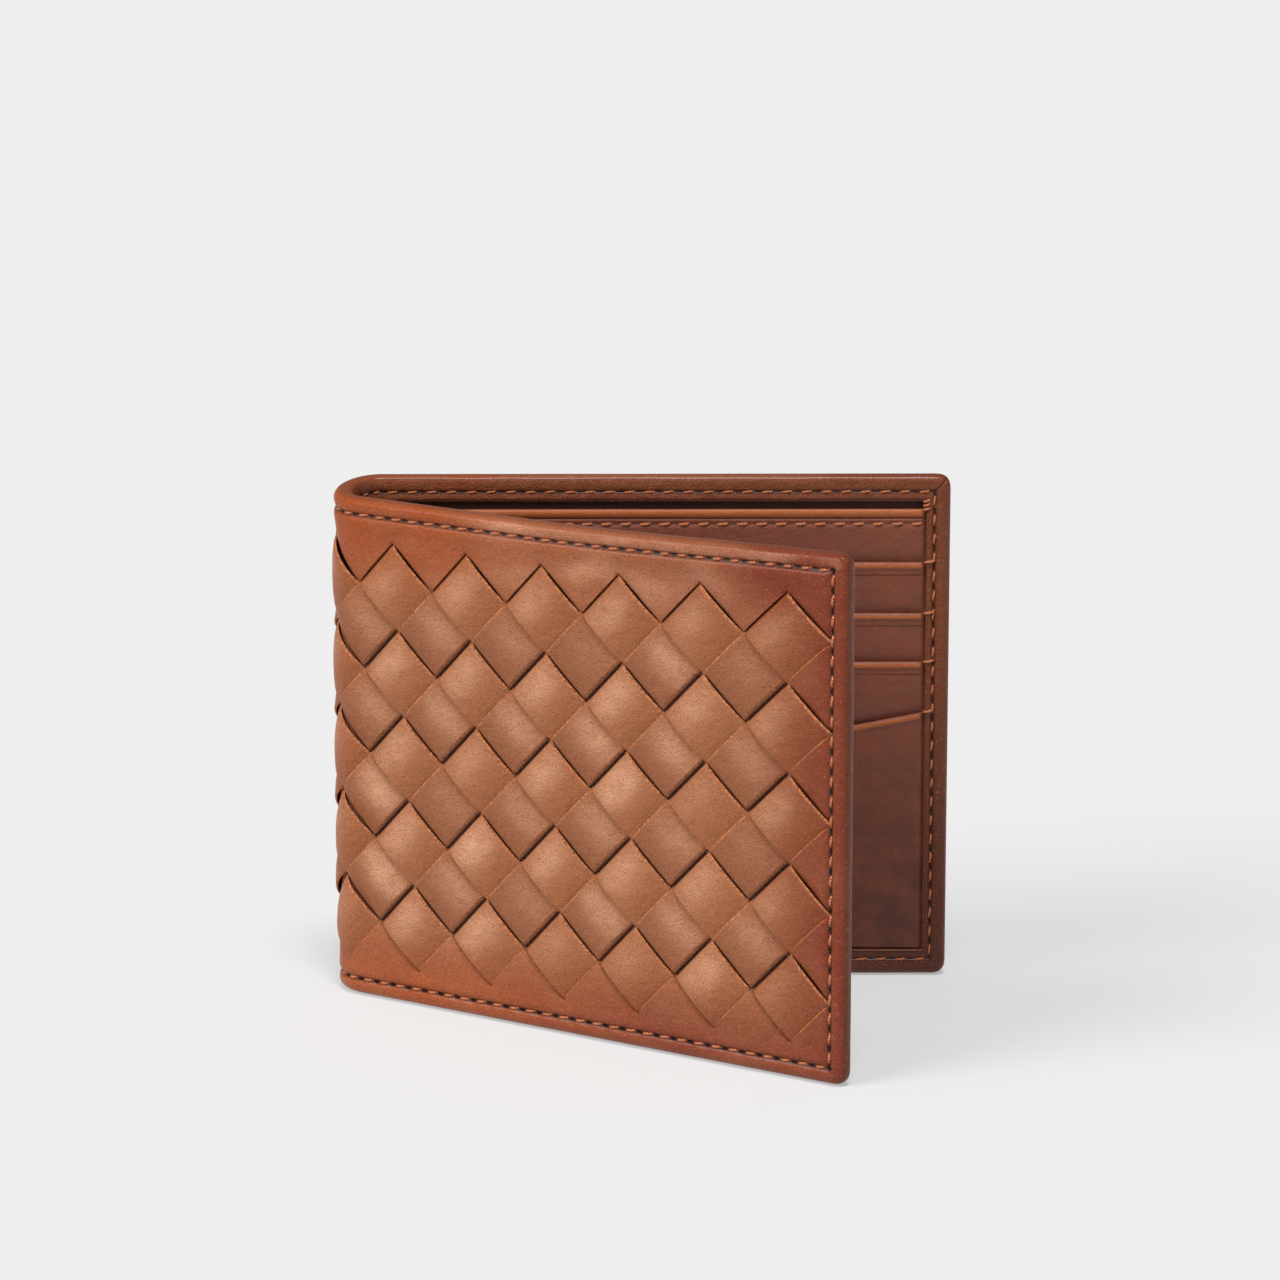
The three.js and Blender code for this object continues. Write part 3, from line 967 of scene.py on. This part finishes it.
def build_threads(half):
    side = SIDES[half]
    outside = Flat()
    add_edge_seam(outside, half, -0.12, 0.12, 0.5)
    piece = outside.finish(f"{side}_edge_stitches", [THREAD, THREAD], sharp=80)
    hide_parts(f"{side}_edge_thread", "spine_thread_bottom", "spine_thread_top")
    bend_with_fold(piece, half)
    inside = Flat()
    add_edge_seam(inside, half, -3.28, 0.12, -0.45, INNER_THREAD_RADIUS)
    for z in (*POCKET_TOPS, SLANT_TOP):
        add_stitch(inside, (half * (BAND_W - 0.3), z - 0.1), (half * (SEAM_W + 0.2), z + 0.3), -3.55, -0.4)
    for k in range(3):
        z = HEIGHT - BAND_TOP - 0.2 - 0.75 * k
        add_stitch(inside, (half * (BAND_W - 0.7), z), (half * (BAND_W + 0.7), z + 0.5), -3.5, -0.5)
    piece = inside.finish(f"{side}_inner_stitches", [THREAD, THREAD], sharp=80)
    bend_with_fold(piece, half)
    seam = Flat()
    for w0, w1 in seam_run(ARC / 2 + 3.6, BAND_W):
        add_stitch(seam, (half * w0, DIVIDER_SEAM - 0.1), (half * w1, DIVIDER_SEAM + 0.1), -3.08, -0.45)
    piece = seam.finish(f"{side}_divider_stitches", [THREAD, THREAD], sharp=80)
    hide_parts(f"{side}_divider_thread")
    bend_with_fold(piece, half)


def build_inside(half):
    side = SIDES[half]
    cover = f"{side}_cover"
    lining = Flat()
    heights = (1.6, 40.0, 80.0, HEIGHT - 1.8)
    rows = [[(half * w, z, LINING_LEVEL) for w in spaced(0, EDGE_W - 1.6, 1.0)] for z in heights]
    lining.slab(rows, LINING_THICKNESS)
    piece = lining.finish(f"{side}_lining", [LINING, LINING])
    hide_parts(f"{side}_bill_lining", "spine_lining")
    bend_with_fold(piece, half)
    divider = Flat()
    section = divider_section()
    add_panel(divider, half, lambda w: section, 0.0, PANEL_END, 2.45)
    piece = divider.finish(f"{side}_divider", [INNER_LEATHER, DARK_EDGE])
    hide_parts(f"{side}_bill_divider", "spine_divider")
    bend_with_fold(piece, half)
    start = ARC / 2 + POCKET_START
    slip = Flat()
    section_slip = slip_section()
    add_panel(slip, half, lambda w: section_slip, ARC / 2 + 3.2, PANEL_END, 2.55)
    piece = slip.finish(f"{side}_slip_pocket", [INNER_LEATHER, DARK_EDGE])
    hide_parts(f"{side}_slip_panel")
    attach(piece, cover)
    follows = list(POCKET_TOPS[1:])
    for k, top in enumerate(POCKET_TOPS):
        pocket = Flat()
        below = (lambda w, value=follows[k]: value) if k < len(follows) else slant_top
        add_panel(pocket, half, lambda w, top=top, below=below, k=k: pocket_section(top, below(w), k + 1),
                  start, PANEL_END, 2.6 + 0.02 * k)
        piece = pocket.finish(f"{side}_pocket_{k + 1}", [INNER_LEATHER, DARK_EDGE])
        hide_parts(f"{side}_card_pocket_{k + 1}")
        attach(piece, cover)
    slanted = Flat()
    add_panel(slanted, half, lambda w: pocket_section(slant_top(w), None, 4), start, PANEL_END, 2.68)
    piece = slanted.finish(f"{side}_slanted_pocket", [INNER_LEATHER, DARK_EDGE])
    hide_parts(f"{side}_slant_pocket")
    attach(piece, cover)


for half in (1, -1):
    build_outer(half)
    replace_strips(half)
    build_threads(half)
    build_inside(half)


# ---- floor, light and camera ----

def floor_material():
    shader = Shader("pale_floor")
    shader.bsdf.inputs["Base Color"].default_value = (0.36, 0.36, 0.36, 1)
    shader.bsdf.inputs["Emission Color"].default_value = (1, 1, 1, 1)
    shader.bsdf.inputs["Emission Strength"].default_value = 0.385
    shader.bsdf.inputs["Roughness"].default_value = 0.9
    shader.bsdf.inputs["Specular IOR Level"].default_value = 0.1
    return shader.material


def build_floor():
    mesh = bpy.data.meshes.new("floor")
    size = 6.0
    corners = [(-size, -size, 0), (size, -size, 0), (size, size, 0), (-size, size, 0)]
    mesh.from_pydata(corners, [], [(0, 1, 2, 3)])
    mesh.materials.append(floor_material())
    floor = bpy.data.objects.new("floor", mesh)
    floor.location.z = -0.0002
    bpy.context.scene.collection.objects.link(floor)


def build_light():
    scene = bpy.context.scene
    world = bpy.data.worlds.new("studio")
    world.use_nodes = True
    world.node_tree.nodes["Background"].inputs["Color"].default_value = (1, 1, 1, 1)
    world.node_tree.nodes["Background"].inputs["Strength"].default_value = 0.3
    scene.world = world
    for name, strength, spread, tilt, turn in (("key", 2.1, 32, 55, -58), ("top", 2.1, 14, 18, 10)):
        light = bpy.data.lights.new(name, "SUN")
        light.energy = strength
        light.angle = math.radians(spread)
        lamp = bpy.data.objects.new(name, light)
        lamp.rotation_euler = (math.radians(tilt), 0, math.radians(turn))
        scene.collection.objects.link(lamp)


CAMERA_PLACE = (-0.00668, -0.95187, 0.29173)
CAMERA_DOWN = 13.007
CAMERA_TURN = 0.347
CAMERA_LENS = 154.4


def build_camera():
    camera = bpy.data.cameras.new("camera")
    camera.lens = CAMERA_LENS
    camera.sensor_width = 36
    camera.clip_end = 50
    view = bpy.data.objects.new("camera", camera)
    view.location = CAMERA_PLACE
    view.rotation_euler = (math.radians(90 - CAMERA_DOWN), 0, math.radians(-CAMERA_TURN))
    bpy.context.scene.collection.objects.link(view)
    bpy.context.scene.camera = view


build_floor()
build_light()
build_camera()
bpy.context.scene.view_settings.view_transform = "Standard"
